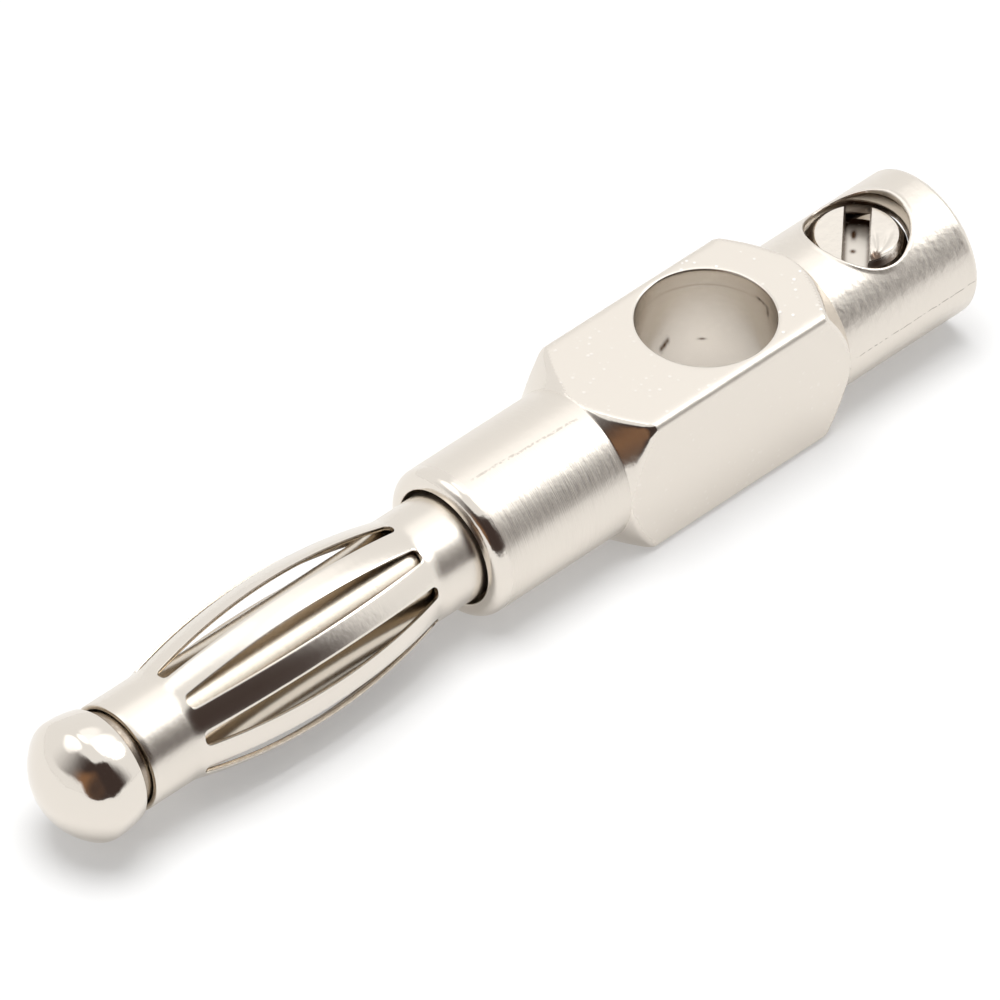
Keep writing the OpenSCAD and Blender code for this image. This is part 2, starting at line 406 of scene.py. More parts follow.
def ribbon(index):
    """A strip as a closed loop at each station: outer face, cut edge, inner face, cut edge."""
    centre = SLOT_PHASE + (index + 0.5) * pitch
    width = slot_half_width(slot_x)
    edge_r = np.minimum(CUT_EDGE_R, width / 3)
    section = [(share, 0, 0, 1) for share in across]
    section += [(1, 0, drop, inset) for inset, drop in ROUNDING]
    section += [(1, SHEET, -drop, inset) for inset, drop in ROUNDING[::-1]]
    section += [(share, SHEET, 0, 1) for share in across[::-1]]
    section += [(-1, SHEET, -drop, inset) for inset, drop in ROUNDING]
    section += [(-1, 0, drop, inset) for inset, drop in ROUNDING[::-1]]
    loop = []
    for share, face_depth, drop, inset in section:
        radius = sheet_radius(slot_x, face_depth + drop * edge_r)
        cut = np.arcsin((width + inset * edge_r) / radius)
        low = np.maximum(cut, seam_turn if index == seam_slot else 0) - pitch / 2
        high = pitch / 2 - np.maximum(cut, seam_turn if index == seam_slot - 1 else 0)
        loop.append(about_axis(slot_x, radius, centre + mix(low, high, (share + 1) / 2)))
    return patch(np.stack(loop, axis=1), wrap=True)


spring_patches = [ribbon(k) for k in range(STRIPS)]
print(len(spring_patches), "ribbons of", len(slot_x), "stations")

# %% [markdown]
# A plain ring of sheet closes the strips at each end. It is one profile, out along the outer face and
# back along the inner one, turned from one side of the seam to the other. Its columns fall on those of
# the ribbons, so the weld joins them.

# %% Add the plain rings
RING_ROWS = 14


def plain_ring(free, slotted):
    """A ring of sheet from its free end to the slots, open at the butt seam, with a rounded free end."""
    starts = seam_angle + pitch * np.arange(STRIPS + 1)
    lows = starts[:-1] + seam_turn * (np.arange(STRIPS) == 0)
    highs = starts[1:] - seam_turn * (np.arange(STRIPS) == STRIPS - 1)
    angles = mix(lows[:, None], highs[:, None], (across[:-1] + 1) / 2).ravel()
    angles = np.append(angles, highs[-1])
    toward = np.sign(slotted - free)
    stations = mix(free + toward * CUT_EDGE_R, slotted, np.linspace(0, 1, RING_ROWS))
    outer = np.stack([stations, sheet_radius(stations, 0)], axis=1)
    inner = np.stack([stations, sheet_radius(stations, SHEET)], axis=1)
    rim = [(free + toward * CUT_EDGE_R * inset, RING_R - CUT_EDGE_R * drop) for inset, drop in ROUNDING]
    rim += [(x, 2 * RING_R - SHEET - radius) for x, radius in rim[::-1]]
    sheet = lathe(np.concatenate([outer[::-1], rim, inner]), angles)
    half = len(sheet) // 2
    seam_ends = [patch(np.stack([sheet[:half, k], sheet[::-1][:half, k]], axis=1)) for k in (0, -1)]
    return [patch(sheet)] + seam_ends


spring_patches += plain_ring(spring_front_x, slot_front_x)
spring_patches += plain_ring(spring_rear_x, slot_rear_x)
spring = make_piece("spring_basket", spring_patches, "lantern_spring", "spring")

# %% [markdown]
# ## The turned body
# The body was square bar. A lathe turned its collar and tail round, and the 45 degree tool left a cone
# where the square's corners begin, so each flat ends in a curve. Solids cut from each other would give
# that shape with knife edges. Seen from the axis, though, every direction meets the outside once, so the
# whole skin is one function: the radius at a station and an angle. It is the smallest of the square and
# the two cones, and a soft minimum rounds the edges between them.

# %% The body's skin as a function
COLLAR_R = 2.37
TAIL_R = 2.37
BAR_X = 5.1
TAIL_X = 13.78
BAR_EDGE_R = 0.28
EDGE_BLEND = 0.13
EDGE_RUN_IN = 0.25
TINY = 1e-9
bar_core = bar_half - BAR_EDGE_R


def soft_min(a, b, blend):
    """The smaller of a and b, less near^2 * blend / 4, where near says how close they are in the blend."""
    near = np.maximum(blend - np.abs(a - b), 0) / np.maximum(blend, TINY)
    return np.minimum(a, b) - near ** 2 * blend / 4


def square_radius(angle):
    """Distance from the axis to the square section: straight flats, and an arc round each corner."""
    turned = np.abs((angle + np.pi / 4) % (np.pi / 2) - np.pi / 4)
    along = bar_core * (np.cos(turned) + np.sin(turned))
    corner = along + np.sqrt(np.maximum(along ** 2 - 2 * bar_core ** 2 + BAR_EDGE_R ** 2, 0))
    return np.where(bar_half * np.tan(turned) < bar_core, bar_half / np.cos(turned), corner)


def skin_radius(x, angle):
    """Radius of the body's outside: the round ends, and between them the square inside two cones."""
    inside = np.minimum(x - BAR_X, TAIL_X - x)
    front = COLLAR_R + np.maximum(x - BAR_X, 0)
    rear = TAIL_R + np.maximum(TAIL_X - x, 0)
    blend = EDGE_BLEND * rise(inside, 0, EDGE_RUN_IN)
    bar = soft_min(square_radius(angle), np.minimum(front, rear), blend)
    ends = np.where(x < hole_x, COLLAR_R, TAIL_R)
    return np.where(inside > 0, bar, ends)


def flat_height(y):
    """Height of the square's top at a distance from the middle: flat, then the corner's arc."""
    past = np.maximum(np.abs(y) - bar_core, 0)
    return bar_core + np.sqrt(BAR_EDGE_R ** 2 - past ** 2)


def skin(x, angle):
    """Points of the outside at stations and angles."""
    return about_axis(x, skin_radius(x, angle), angle)


print("skin radius on a flat", round(float(skin_radius(hole_x, 0.0)), 3), "mm")

# %% [markdown]
# A grid of that function gives the outside. Its rows crowd together on the cones and its columns on the
# rounded edges, where the surface bends most. Two stretches are left open: over the cross hole, above
# and below, and over the screw's hole.

# %% Lay out the skin's grid
CORNER_COLUMNS = 8
FLAT_COLUMNS = 37
COLLAR_ROWS = 36
CONE_ROWS = 44
BAR_ROWS = 50
TAIL_ROWS = 44
LIP_R = 0.4
TAIL_EDGE_R = 0.2
CONE_RUN = 1.3
HOLE_PATCH = 2.4
TAP_PATCH = 2.05
TAP_PATCH_TURN = np.radians(84)
HAIR = 1e-4

flat_edge = np.arctan(bar_core / bar_half)
quarter = np.concatenate([
    np.linspace(-np.pi / 4, -flat_edge, CORNER_COLUMNS)[:-1],
    np.arctan(np.linspace(-1, 1, FLAT_COLUMNS) * np.tan(flat_edge)),
    np.linspace(flat_edge, np.pi / 4, CORNER_COLUMNS)[1:-1],
])
skin_angles = (np.arange(4)[:, None] * np.pi / 2 + quarter).ravel()
hole_span = hole_x + np.array([-HOLE_PATCH, HOLE_PATCH])
tap_span = screw_x + np.array([-TAP_PATCH, TAP_PATCH])
stations = np.unique(np.round(np.concatenate([
    np.linspace(LIP_R, BAR_X, COLLAR_ROWS),
    np.linspace(BAR_X, BAR_X + CONE_RUN, CONE_ROWS),
    np.linspace(BAR_X + CONE_RUN, TAIL_X - CONE_RUN, BAR_ROWS),
    np.linspace(TAIL_X - CONE_RUN, TAIL_X, CONE_ROWS),
    np.linspace(TAIL_X, rear_x - TAIL_EDGE_R, TAIL_ROWS),
    hole_span,
    tap_span,
]), 5))
signed = (skin_angles + np.pi) % (2 * np.pi) - np.pi
tap_reach = np.abs(signed[np.argmin(np.abs(signed - TAP_PATCH_TURN))])
hole_stations = stations[(stations > hole_span[0] - HAIR) & (stations < hole_span[1] + HAIR)]
tap_stations = stations[(stations > tap_span[0] - HAIR) & (stations < tap_span[1] + HAIR)]
hole_angles = np.append(quarter, np.pi / 4)
tap_angles = np.sort(signed[np.abs(signed) < tap_reach + HAIR])

face_angle = signed + (np.roll(skin_angles, -1) - skin_angles) % (2 * np.pi) / 2
face_x = (stations[1:] + stations[:-1]) / 2
over_hole = (face_x > hole_span[0]) & (face_x < hole_span[1])
over_tap = (face_x > tap_span[0]) & (face_x < tap_span[1])
top_or_bottom = np.abs(np.cos(face_angle)) > np.sqrt(0.5)
near_tap = np.abs(face_angle) < tap_reach
cut = (over_hole[:, None] & top_or_bottom) | (over_tap[:, None] & near_tap)
body_patches = [patch(skin(stations[:, None], skin_angles), wrap=True, keep=~cut)]
print("skin", len(stations), "rows,", len(skin_angles), "columns,", cut.sum(), "faces left open")

# %% [markdown]
# The collar's front is a rounded lip round a shallow recess, with the drilled seat of the pin behind it.
# The tail's end is rounded over into the wire bore. Both are profiles turned on the skin's own columns,
# so that they weld to it. The bore stays open where the screw comes through.

# %% Turn the collar's front and the wire bore
RECESS_R = 1.83
RECESS_DEPTH = 1
LIP_INNER_R = 0.06
SEAT_R = 1.505
SEAT_END_X = 4.75
BORE_R = 1.55
BORE_END_X = 14.18
BORE_MOUTH = 0.2
MOUTH_ROW = 0.4
DRILL_SLOPE = np.tan(np.radians(31))

front_profile = np.concatenate([
    [(SEAT_END_X + SEAT_R * DRILL_SLOPE, 0), (SEAT_END_X, SEAT_R), (RECESS_DEPTH, SEAT_R)],
    [(RECESS_DEPTH, mix(SEAT_R, RECESS_R, share)) for share in (0.3, 0.7, 1)],
    [(mix(RECESS_DEPTH, LIP_INNER_R, share), RECESS_R) for share in (0.05, 0.4, 0.8)],
    arc((LIP_INNER_R, RECESS_R + LIP_INNER_R), LIP_INNER_R, 270, 180, 8),
    arc((LIP_R, COLLAR_R - LIP_R), LIP_R, 180, 90, 19),
])
rear_profile = np.concatenate([
    arc((rear_x - TAIL_EDGE_R, TAIL_R - TAIL_EDGE_R), TAIL_EDGE_R, 90, 0, 9),
    [(rear_x, BORE_R + BORE_MOUTH), (rear_x - BORE_MOUTH, BORE_R), (rear_x - MOUTH_ROW, BORE_R)],
    np.stack([tap_stations[::-1], np.full(len(tap_stations), BORE_R)], axis=1),
    [(BORE_END_X, BORE_R), (BORE_END_X - BORE_R * DRILL_SLOPE, 0)],
])
rear_face = (rear_profile[1:] + rear_profile[:-1]) / 2
in_bore = np.abs(rear_face[:, 1] - BORE_R) < HAIR
in_bore &= (rear_face[:, 0] > tap_span[0]) & (rear_face[:, 0] < tap_span[1])
bore_cut = in_bore[:, None] & near_tap
body_patches.append(patch(lathe(front_profile, skin_angles), wrap=True))
body_patches.append(patch(lathe(rear_profile, skin_angles), wrap=True, keep=~bore_cut))
print("collar front", len(front_profile), "points, tail and bore", len(rear_profile), "points")

# %% [markdown]
# ## Holes in a grid
# A Boolean cut would leave slivers round each hole, and polished metal shows them. So a hole is made by
# leaving out a rectangle of faces and filling it with a ring of faces that runs from the rectangle's
# edge to the hole's rim. Each point of the ring is still worked out by the skin's own function, so it
# lies exactly on the surface and the shading stays smooth up to the rim.

# %% Helpers for holes
RIM_RING_ROWS = 12
RIM_ROWS = 6


def pipe(radius):
    """A plain cylinder along the axis, as a function of station and angle."""
    def wall(x, angle):
        return about_axis(x, radius, angle)
    return wall


def rectangle_edge(stations, angles):
    """Stations and angles round the edge of a rectangle of the grid, each corner once."""
    along = np.concatenate([stations, np.full(len(angles) - 2, stations[-1])])
    along = np.concatenate([along, stations[::-1], np.full(len(angles) - 2, stations[0])])
    around = np.concatenate([np.full(len(stations), angles[0]), angles[1:-1]])
    around = np.concatenate([around, np.full(len(stations), angles[-1]), angles[-2:0:-1]])
    return along, around


def rim_ring(surface, edge, rim):
    """Faces from a rectangle's edge to a hole's rim, mixed in station and angle on a surface."""
    share = np.linspace(0, 1, RIM_RING_ROWS)[:, None]
    return patch(surface(mix(edge[0], rim[0], share), mix(edge[1], rim[1], share)), wrap=True)


def headings(edge, centre_x):
    """Headings of a rectangle's edge about an upright axis."""
    point = skin(*edge)
    return np.arctan2(point[:, 1], point[:, 0] - centre_x)


def upright(centre_x, radius, heading, height):
    """Points of an upright hole's wall, at a radius, a heading about its own axis and a height."""
    rows = [centre_x + radius * np.cos(heading), radius * np.sin(heading), height]
    return np.stack(np.broadcast_arrays(*rows), axis=-1)


def rounded_rim(radius, edge_r, heading):
    """Radius and drop of the rows that roll over a quarter circle into a hole's wall."""
    roll = np.linspace(0, np.pi / 2, RIM_ROWS)[:, None]
    return radius + edge_r * (1 - np.sin(roll)) + 0 * heading, -edge_r * (1 - np.cos(roll))


edge_count = len(rectangle_edge(np.arange(3), np.arange(4))[0])
print("a rectangle of 3 by 4 points has", edge_count, "on its edge")

# %% [markdown]
# The cross hole takes the pin of a second plug. It is drilled through from the top flat to the bottom
# one and lightly rounded at both rims. The hole is almost as wide as the flat, so its rim follows the
# height of the flat's rounded edges.

# %% Drill the cross hole
HOLE_RIM = 0.08
# Rows of the cross hole's wall: from one share of its height to another, and how many
HOLE_BANDS = [(1, 0.9, 4), (0.9, 0.6, 24), (0.6, 0.02, 12), (0.02, -0.2, 18), (-0.2, -1, 14)]

hole_edge = rectangle_edge(hole_stations, hole_angles)
hole_heading = headings(hole_edge, hole_x)
rim_x = hole_x + (hole_r + HOLE_RIM) * np.cos(hole_heading)
rim_y = (hole_r + HOLE_RIM) * np.sin(hole_heading)
rim_top = flat_height(rim_y)
rim_angle = np.arctan2(-rim_y, rim_top)
body_patches.append(rim_ring(skin, hole_edge, (rim_x, rim_angle)))
body_patches.append(rim_ring(skin, (hole_edge[0], np.pi - hole_edge[1]), (rim_x, np.pi - rim_angle)))
roll_radius, roll_drop = rounded_rim(hole_r, HOLE_RIM, hole_heading)
roll_height = rim_top + roll_drop
plain_share = np.unique(np.concatenate([np.linspace(*band) for band in HOLE_BANDS]))[::-1]
plain_height = plain_share[1:-1, None] * roll_height[-1]
wall_height = np.concatenate([roll_height, plain_height, -roll_height[::-1]])
wall_radius = np.concatenate([roll_radius, np.full(plain_height.shape, hole_r), roll_radius[::-1]])
body_patches.append(patch(upright(hole_x, wall_radius, hole_heading, wall_height), wrap=True))
print("cross hole", wall_height.shape[0], "rows,", round(2 * hole_r, 2), "mm across")

# %% [markdown]
# The screw's hole runs from the tail's outside into the wire bore, and the tap raised a ragged burr round
# its mouth. A sharp rim would look like a drawing, so a few rows of points climb over the burr and roll
# into the hole, and two waves round the rim make it uneven.

# %% Open the screw's hole
SCREW_PLAY = 0.03
# Distance from the hole's wall and height above the tail of each row over the burr
BURR_ROWS = np.array([
    (0.2, 0),
    (0.15, 0.006),
    (0.12, 0.02),
    (0.09, 0.026),
    (0.06, 0.018),
    (0.035, -0.002),
    (0.015, -0.035),
    (0, -0.09),
])
# Waves round the burr: how many, where they start and how high
BURR_WAVES = [(3, 1, 0.35), (7, 0, 0.25)]
tap_r = screw_r + SCREW_PLAY

tap_edge = rectangle_edge(tap_stations, tap_angles)
tap_heading = headings(tap_edge, screw_x)
burr = 1 + sum(height * np.sin(count * tap_heading + start) for count, start, height in BURR_WAVES)
burr_radius = tap_r + BURR_ROWS[:, :1] + 0 * tap_heading
burr_height = np.sqrt(TAIL_R ** 2 - (burr_radius * np.sin(tap_heading)) ** 2) + BURR_ROWS[:, 1:] * burr
mouth_x = screw_x + burr_radius[0] * np.cos(tap_heading)
mouth_angle = np.arcsin(-burr_radius[0] * np.sin(tap_heading) / TAIL_R)
body_patches.append(rim_ring(pipe(TAIL_R), tap_edge, (mouth_x, mouth_angle)))
foot_x = screw_x + tap_r * np.cos(tap_heading)
foot_y = tap_r * np.sin(tap_heading)
body_patches.append(rim_ring(pipe(BORE_R), tap_edge, (foot_x, np.arcsin(-foot_y / BORE_R))))
print("burr up to", round(float((BURR_ROWS[:, 1:] * burr).max()), 3), "mm high")

# %% [markdown]
# The tap also left a thread in the hole's wall. It could be a bump in the material, but its grooves show
# at the mouth. A thread is a saw tooth of height that climbs one pitch a turn. Here it widens the hole, and
# it is held back where the tail's wall beside the hole gets too thin for it.

# %% Cut the hole's thread
THREAD_PITCH = 0.5
TAP_DEPTH = 0.27
TAP_PHASE = 0.02
TAP_CREST = 0.125
TAP_FLANK = 0.625
TAP_WALL = 0.08
TAP_RUN_IN = 0.06
TAP_RUN_OUT = 0.125
TAP_ROWS = 70


def thread_wave(height, heading, phase=0):
    """A straight saw tooth between 0 and 1 that climbs one pitch a turn."""
    return np.abs((height / THREAD_PITCH - heading / (2 * np.pi) + phase) % 1 * 2 - 1)


down = np.linspace(0, 1, TAP_ROWS)[1:, None]
tap_height = mix(burr_height[-1], np.sqrt(BORE_R ** 2 - foot_y ** 2), down)
thread = thread_wave(tap_height, tap_heading, TAP_PHASE)
thread = TAP_DEPTH * np.clip((thread - TAP_CREST) / TAP_FLANK, 0, 1)
outer_y = np.sqrt(np.maximum(TAIL_R ** 2 - tap_height ** 2, 0))
wall_left = outer_y / np.maximum(np.abs(np.sin(tap_heading)), HAIR) - tap_r - TAP_WALL
thread = np.clip(thread, 0, np.maximum(wall_left, 0))
thread = thread * rise(tap_height, burr_height[-1], -TAP_RUN_IN) * rise(down, 1, -TAP_RUN_OUT)
wall_radius = np.concatenate([burr_radius, tap_r + thread])
wall_height = np.concatenate([burr_height, tap_height])
body_patches.append(patch(upright(screw_x, wall_radius, tap_heading, wall_height), wrap=True))
body = make_piece("turned_body", body_patches, "plug_body", "body")

# %% [markdown]
# ## The clamp screw
# A headless screw is a threaded cylinder with a saw cut across its top. A Boolean cut would break the
# thread's grid. Instead two lands stand above the floor of the cut. The side of a land is a grid of
# height and angle, and the angle where the cut starts depends on the radius there, so that both walls of
# the cut stay flat. The lower end is trimmed, so that it clears the wire bore when it is screwed in.

# %% The screw's side as a function
SCREW_CHAMFER = 0.28
THREAD_DEPTH = 0.16
SLOT_W = 0.72
SLOT_DEPTH = 0.7
SLOT_TURN = np.radians(44)
SLOT_BEVEL = 0.05
TIP_CLEAR = 0.005
WALL_STEPS = 6
screw_top = screw_high[2]
screw_tip = screw_low[2]
joints = {joint["name"]: joint for joint in frame["record"]["behaviour"]["joints"]}
travel_in = joints["screw_travel"]["range_m"][1] / MM
slot_floor = screw_top - SLOT_DEPTH
slot_half = SLOT_W / 2
bevel_z = screw_top - SLOT_BEVEL
land = np.linspace(0, 1, 61)
gap = np.linspace(0, 1, 17)


def screw_radius(height, heading):
    """Radius of the screw: a saw tooth, inside a 45 degree chamfer at each end and the bore's circle."""
    side = screw_r - THREAD_DEPTH * (1 - thread_wave(height, heading))
    ends = np.minimum(screw_top - height, height - screw_tip)
    bore_room = np.sqrt((BORE_R - TIP_CLEAR) ** 2 - np.minimum(height - travel_in, 0) ** 2)
    return np.minimum(np.minimum(side, bore_room), screw_r - SCREW_CHAMFER + np.maximum(ends, 0))


def wall_angle(heights, about, way):
    """Angle where the side meets a slot wall: radius * sin(angle - about) is half the slot's width."""
    angle = about + 0 * heights
    half = slot_half + np.maximum(heights - bevel_z, 0)
    for _ in range(WALL_STEPS):
        angle = about + way * np.arcsin(half / screw_radius(heights, angle + SLOT_TURN))
    return angle


def land_angles(heights, start):
    """Angles across one land, from one wall of the slot to the other."""
    return mix(wall_angle(heights, start, 1), wall_angle(heights, start + np.pi, -1), land)


def gap_angles(heights, start):
    """Angles across the end of the slot after that land."""
    return mix(wall_angle(heights, start + np.pi, -1), wall_angle(heights, start + np.pi, 1), gap)


def screw_side(heights, angles):
    """Points of the screw's side at heights and angles from the slot."""
    heading = angles + SLOT_TURN
    return upright(screw_x, screw_radius(heights, heading), heading, heights)


print("slot", round(SLOT_W, 2), "mm wide, floor at", round(slot_floor, 2), "mm")

# %% [markdown]
# A driver has slipped on one land: it chipped the corner beside the slot and pressed in creases that fan
# out from the chip. Painted lines would not catch the light, so the creases are a shape: sine waves of
# the bearing from the chip, faded in and out with the distance from it.

# %% Wear the land
CHIP_ALONG = -0.92
CHIP_ACROSS = -0.58
CHIP_SIZE = (0.2, 0.14)
CHIP_DEPTH = 0.12
CREASES = 13
CREASE_CURL = 3
CREASE_DEPTH = 0.02
CREASE_START = 0.3
CREASE_END = 1.4
CREASE_FADE = 0.8
LAND_MARGIN = 0.06
LAND_FADE = 0.15


def slot_frame(x, y):
    """Distances along the slot and across it, from the screw's middle."""
    along = (x - screw_x) * np.cos(SLOT_TURN) + y * np.sin(SLOT_TURN)
    return along, y * np.cos(SLOT_TURN) - (x - screw_x) * np.sin(SLOT_TURN)


def bell(along, across, size):
    """exp(-(along / size)^2 - (across / size)^2), with a size each way."""
    return np.exp(-(along / size[0]) ** 2 - (across / size[1]) ** 2)


def wear_depth(x, y):
    """Depth of the creases, max(sin(count * bearing + curl * reach), 0), plus that of the chip."""
    along, across = slot_frame(x, y)
    chip_along, chip_across = along - CHIP_ALONG, across - CHIP_ACROSS
    bearing = np.arctan2(-chip_across, chip_along)
    reach = np.hypot(chip_along, chip_across)
    creases = np.maximum(np.sin(CREASES * bearing + CREASE_CURL * reach), 0)
    creases = creases * rise(reach, 0, CREASE_START) * rise(reach, CREASE_END, -CREASE_FADE)
    inland = rise(-across, slot_half + LAND_MARGIN, LAND_FADE)
    chip = bell(chip_along, chip_across, CHIP_SIZE)
    return np.where(across < 0, CREASE_DEPTH * creases * inland + CHIP_DEPTH * chip, 0)


print("chip", CHIP_DEPTH, "mm deep,", CREASES, "creases a turn")

# %% [markdown]
# Below the slot's floor the side goes right round: two lands and the slot's two ends. Above it only the
# lands go on, each with a side, a flat wall and a top. A last grid between the slot's ends is its floor.

# %% Cut the screw
LOW_ROWS = 46
HIGH_ROWS = 22
BEVEL_ROWS = 5
TOP_ROWS = 25
TIP_RING = 0.6
low_heights = np.linspace(screw_tip, slot_floor, LOW_ROWS)[:, None]
bevel_heights = np.linspace(bevel_z, screw_top, BEVEL_ROWS)[1:]
high_heights = np.append(np.linspace(slot_floor, bevel_z, HIGH_ROWS), bevel_heights)[:, None]
screw_patches = []
slot_ends = []
for start in (0, np.pi):
    for angles in (land_angles(low_heights, start), gap_angles(low_heights, start)):
        lower_side = screw_side(low_heights, angles)
        rim = lower_side[:1]
        centre = np.broadcast_to([screw_x, 0, screw_tip], rim.shape)
        screw_patches.append(patch(lower_side))
        screw_patches.append(patch(np.concatenate([rim, mix(rim, centre, TIP_RING), centre])))
    slot_ends.append(lower_side[-1])
    upper_side = screw_side(high_heights, land_angles(high_heights, start))
    slot_wall = mix(upper_side[:, :1], upper_side[:, -1:], land[None, :, None])
    top = mix(upper_side[-1], slot_wall[-1], np.linspace(0, 1, TOP_ROWS)[:, None, None])
    top[1:-1, :, 2] -= wear_depth(top[1:-1, :, 0], top[1:-1, :, 1])
    screw_patches += [patch(upper_side), patch(slot_wall), patch(top)]
screw_patches.append(patch(mix(slot_ends[0], slot_ends[1][::-1], land[:, None, None])))
screw = make_piece("slotted_screw", screw_patches, "clamp_screw", "screw")

# %% [markdown]
# ## The studio
# Polished metal has hardly any colour of its own: it shows what stands around it. The photograph was
# taken in a white tent, and four things make its reflections: white all round, a pale table, a soft lamp
# above the tail that shines brighter than the white, and the dark room behind the camera. Lamps alone
# can't give those shapes, so the room and the lamp are panels on a large sphere round the plug. Only
# reflections see them.

# %% Helpers for materials and panels
TENT_R = 700
WHITE = (1, 1, 1, 1)
stage_middle = np.array([2.15, 0, 0])


def node_maker(tree):
    """A function that adds a node, sets its options, and sets or links its sockets by name or number."""
    def add(kind, sockets=None, **options):
        node = tree.nodes.new(kind)
        for option, value in options.items():
            setattr(node, option, value)
        for socket, value in (sockets or {}).items():
            if isinstance(value, bpy.types.NodeSocket):
                tree.links.new(value, node.inputs[socket])
            else:
                node.inputs[socket].default_value = value
        return node
    return add


def new_material(name, thing):
    """An empty node material on an object, with its node function, its output and its links."""
    material = bpy.data.materials.new(name)
    material.use_nodes = True
    material.node_tree.nodes.clear()
    thing.data.materials.append(material)
    add = node_maker(material.node_tree)
    return add, add("ShaderNodeOutputMaterial"), material.node_tree.links


def stage_object(name, points, faces):
    """A mesh of the studio, from points in millimetres."""
    mesh = bpy.data.meshes.new(name)
    mesh.from_pydata((points.reshape(-1, 3) * MM).tolist(), [], faces)
    thing = bpy.data.objects.new(name, mesh)
    bpy.context.scene.collection.objects.link(thing)
    return thing


def tent_panel(name, azimuths, elevations, fade, tint):
    """A part of the sphere over a grid of directions. fade says how much of it shows, tint its tone."""
    azimuth, elevation = np.meshgrid(azimuths, elevations)
    points = TENT_R * direction(azimuth, elevation) + stage_middle
    panel = stage_object(name, points, grid_faces(*azimuth.shape).reshape(-1, 4).tolist())
    paint(panel, fade=fade(azimuth, elevation).ravel(), tint=tint(azimuth, elevation).ravel())
    panel.visible_camera = False
    panel.visible_diffuse = False
    panel.visible_shadow = False
    return panel


def panel_glow(panel, dark, light, strength):
    """Makes a panel glow from one tone to another by its tint. It is clear where its fade is 0."""
    add, output, links = new_material(panel.name + "_glow", panel)
    tint = add("ShaderNodeAttribute", attribute_name="tint").outputs["Fac"]
    ramp = add("ShaderNodeValToRGB", {0: tint})
    ramp.color_ramp.elements[0].color = dark
    ramp.color_ramp.elements[1].color = light
    glow = add("ShaderNodeEmission", {"Color": ramp.outputs[0], "Strength": strength}).outputs[0]
    clear = add("ShaderNodeBsdfTransparent").outputs[0]
    fade = add("ShaderNodeAttribute", attribute_name="fade").outputs["Fac"]
    links.new(add("ShaderNodeMixShader", {0: fade, 1: clear, 2: glow}).outputs[0], output.inputs[0])


print("tent radius", TENT_R, "mm")

# %% [markdown]
# The dark room is what the head and the round ends show as a dark band. It ends sharply beside the lamp,
# fades slowly on the other side, and is tallest in its middle. A wooden side of it gives the brown tone
# in the dark. Each edge is an S-curve: where it starts, and how many degrees it takes.

# %% Hang the dark room
ROOM_RIGHT = (-44.5, -18)
ROOM_LEFT = (-234, 72)
ROOM_TOP = 50
ROOM_TOP_STEPS = [(12, -44, -40), (-12.5, -110, -60)]
ROOM_BOTTOM = -6
ROOM_BOTTOM_STEPS = [(13, -142, -25), (5, -125, 30)]
ROOM_SOFT = 7
WOOD_RIGHT = (-138, -20)
WOOD_LEFT = (-190, 26)
WOOD_TOP = (34, -18)
BLACK = (0.06, 0.042, 0.037, 1)
BROWN = (0.28, 0.15, 0.08, 1)


def stepped(level, steps, azimuth):
    """A level that rises by each step's height where its S-curve runs."""
    return level + sum(height * rise(azimuth, start, run) for height, start, run in steps)


def room_fade(azimuth, elevation):
    """How much of the room shows: the product of its four soft edges."""
    top = stepped(ROOM_TOP, ROOM_TOP_STEPS, azimuth)
    bottom = stepped(ROOM_BOTTOM, ROOM_BOTTOM_STEPS, azimuth)
    sides = rise(azimuth, *ROOM_RIGHT) * rise(azimuth, *ROOM_LEFT)
    return sides * rise(elevation, top, -ROOM_SOFT) * rise(elevation, bottom, ROOM_SOFT)


def room_tint(azimuth, elevation):
    """0 where the room is black, 1 where its wooden side shows brown."""
    return rise(azimuth, *WOOD_RIGHT) * rise(azimuth, *WOOD_LEFT) * rise(elevation, *WOOD_TOP)


room_azimuths = np.linspace(-236, -36, 201)
room_elevations = np.linspace(-8, 64, 73)
dark_room = tent_panel("dark_room", room_azimuths, room_elevations, room_fade, room_tint)
panel_glow(dark_room, BLACK, BROWN, 1)
print("dark room", len(dark_room.data.polygons), "faces")

# %% [markdown]
# The lamp shines through the tent's cloth as a bright patch with a soft rim, and dimmer patches beside it
# are the cloth that it lights. Each is a cone of directions, and the brightest one counts.

# %% Hang the soft lamp
# Azimuth, elevation, reach in degrees and level of each patch
LAMP_PATCHES = [
    (-24, 45, 13, 1),
    (-29, 40, 11, 1),
    (-8, 58, 21, 0.14),
    (32, 66, 18, 0.09),
    (38, 52, 15, 0.07),
    (66, 70, 16, 0.15),
    (136, 50, 21, 0.14),
]
LAMP_SOFT = 7
LAMP_STRENGTH = 6


def lamp_fade(azimuth, elevation):
    """The highest of the patches, each level * S-curve of the angle inside its rim."""
    ways = direction(azimuth, elevation)
    shown = 0
    for turn, lift, reach, level in LAMP_PATCHES:
        away = np.degrees(angle_between(ways, direction(turn, lift)))
        shown = np.maximum(shown, level * rise(away, reach, -LAMP_SOFT))
    return shown


lamp_azimuths = np.linspace(-180, 180, 181)
lamp_elevations = np.linspace(24, 90, 67)
soft_lamp = tent_panel("soft_lamp", lamp_azimuths, lamp_elevations, lamp_fade, lamp_fade)
panel_glow(soft_lamp, WHITE, WHITE, LAMP_STRENGTH)
print("soft lamp", len(LAMP_PATCHES), "patches")

# %% [markdown]
# The tent itself is the world: white where it is seen, straight or in a reflection, and much dimmer as a
# light, so that pale metal keeps its tone. Rays that are seen are told from rays that light by their path.

# %% Pitch the tent
TENT_LIGHT = 0.35


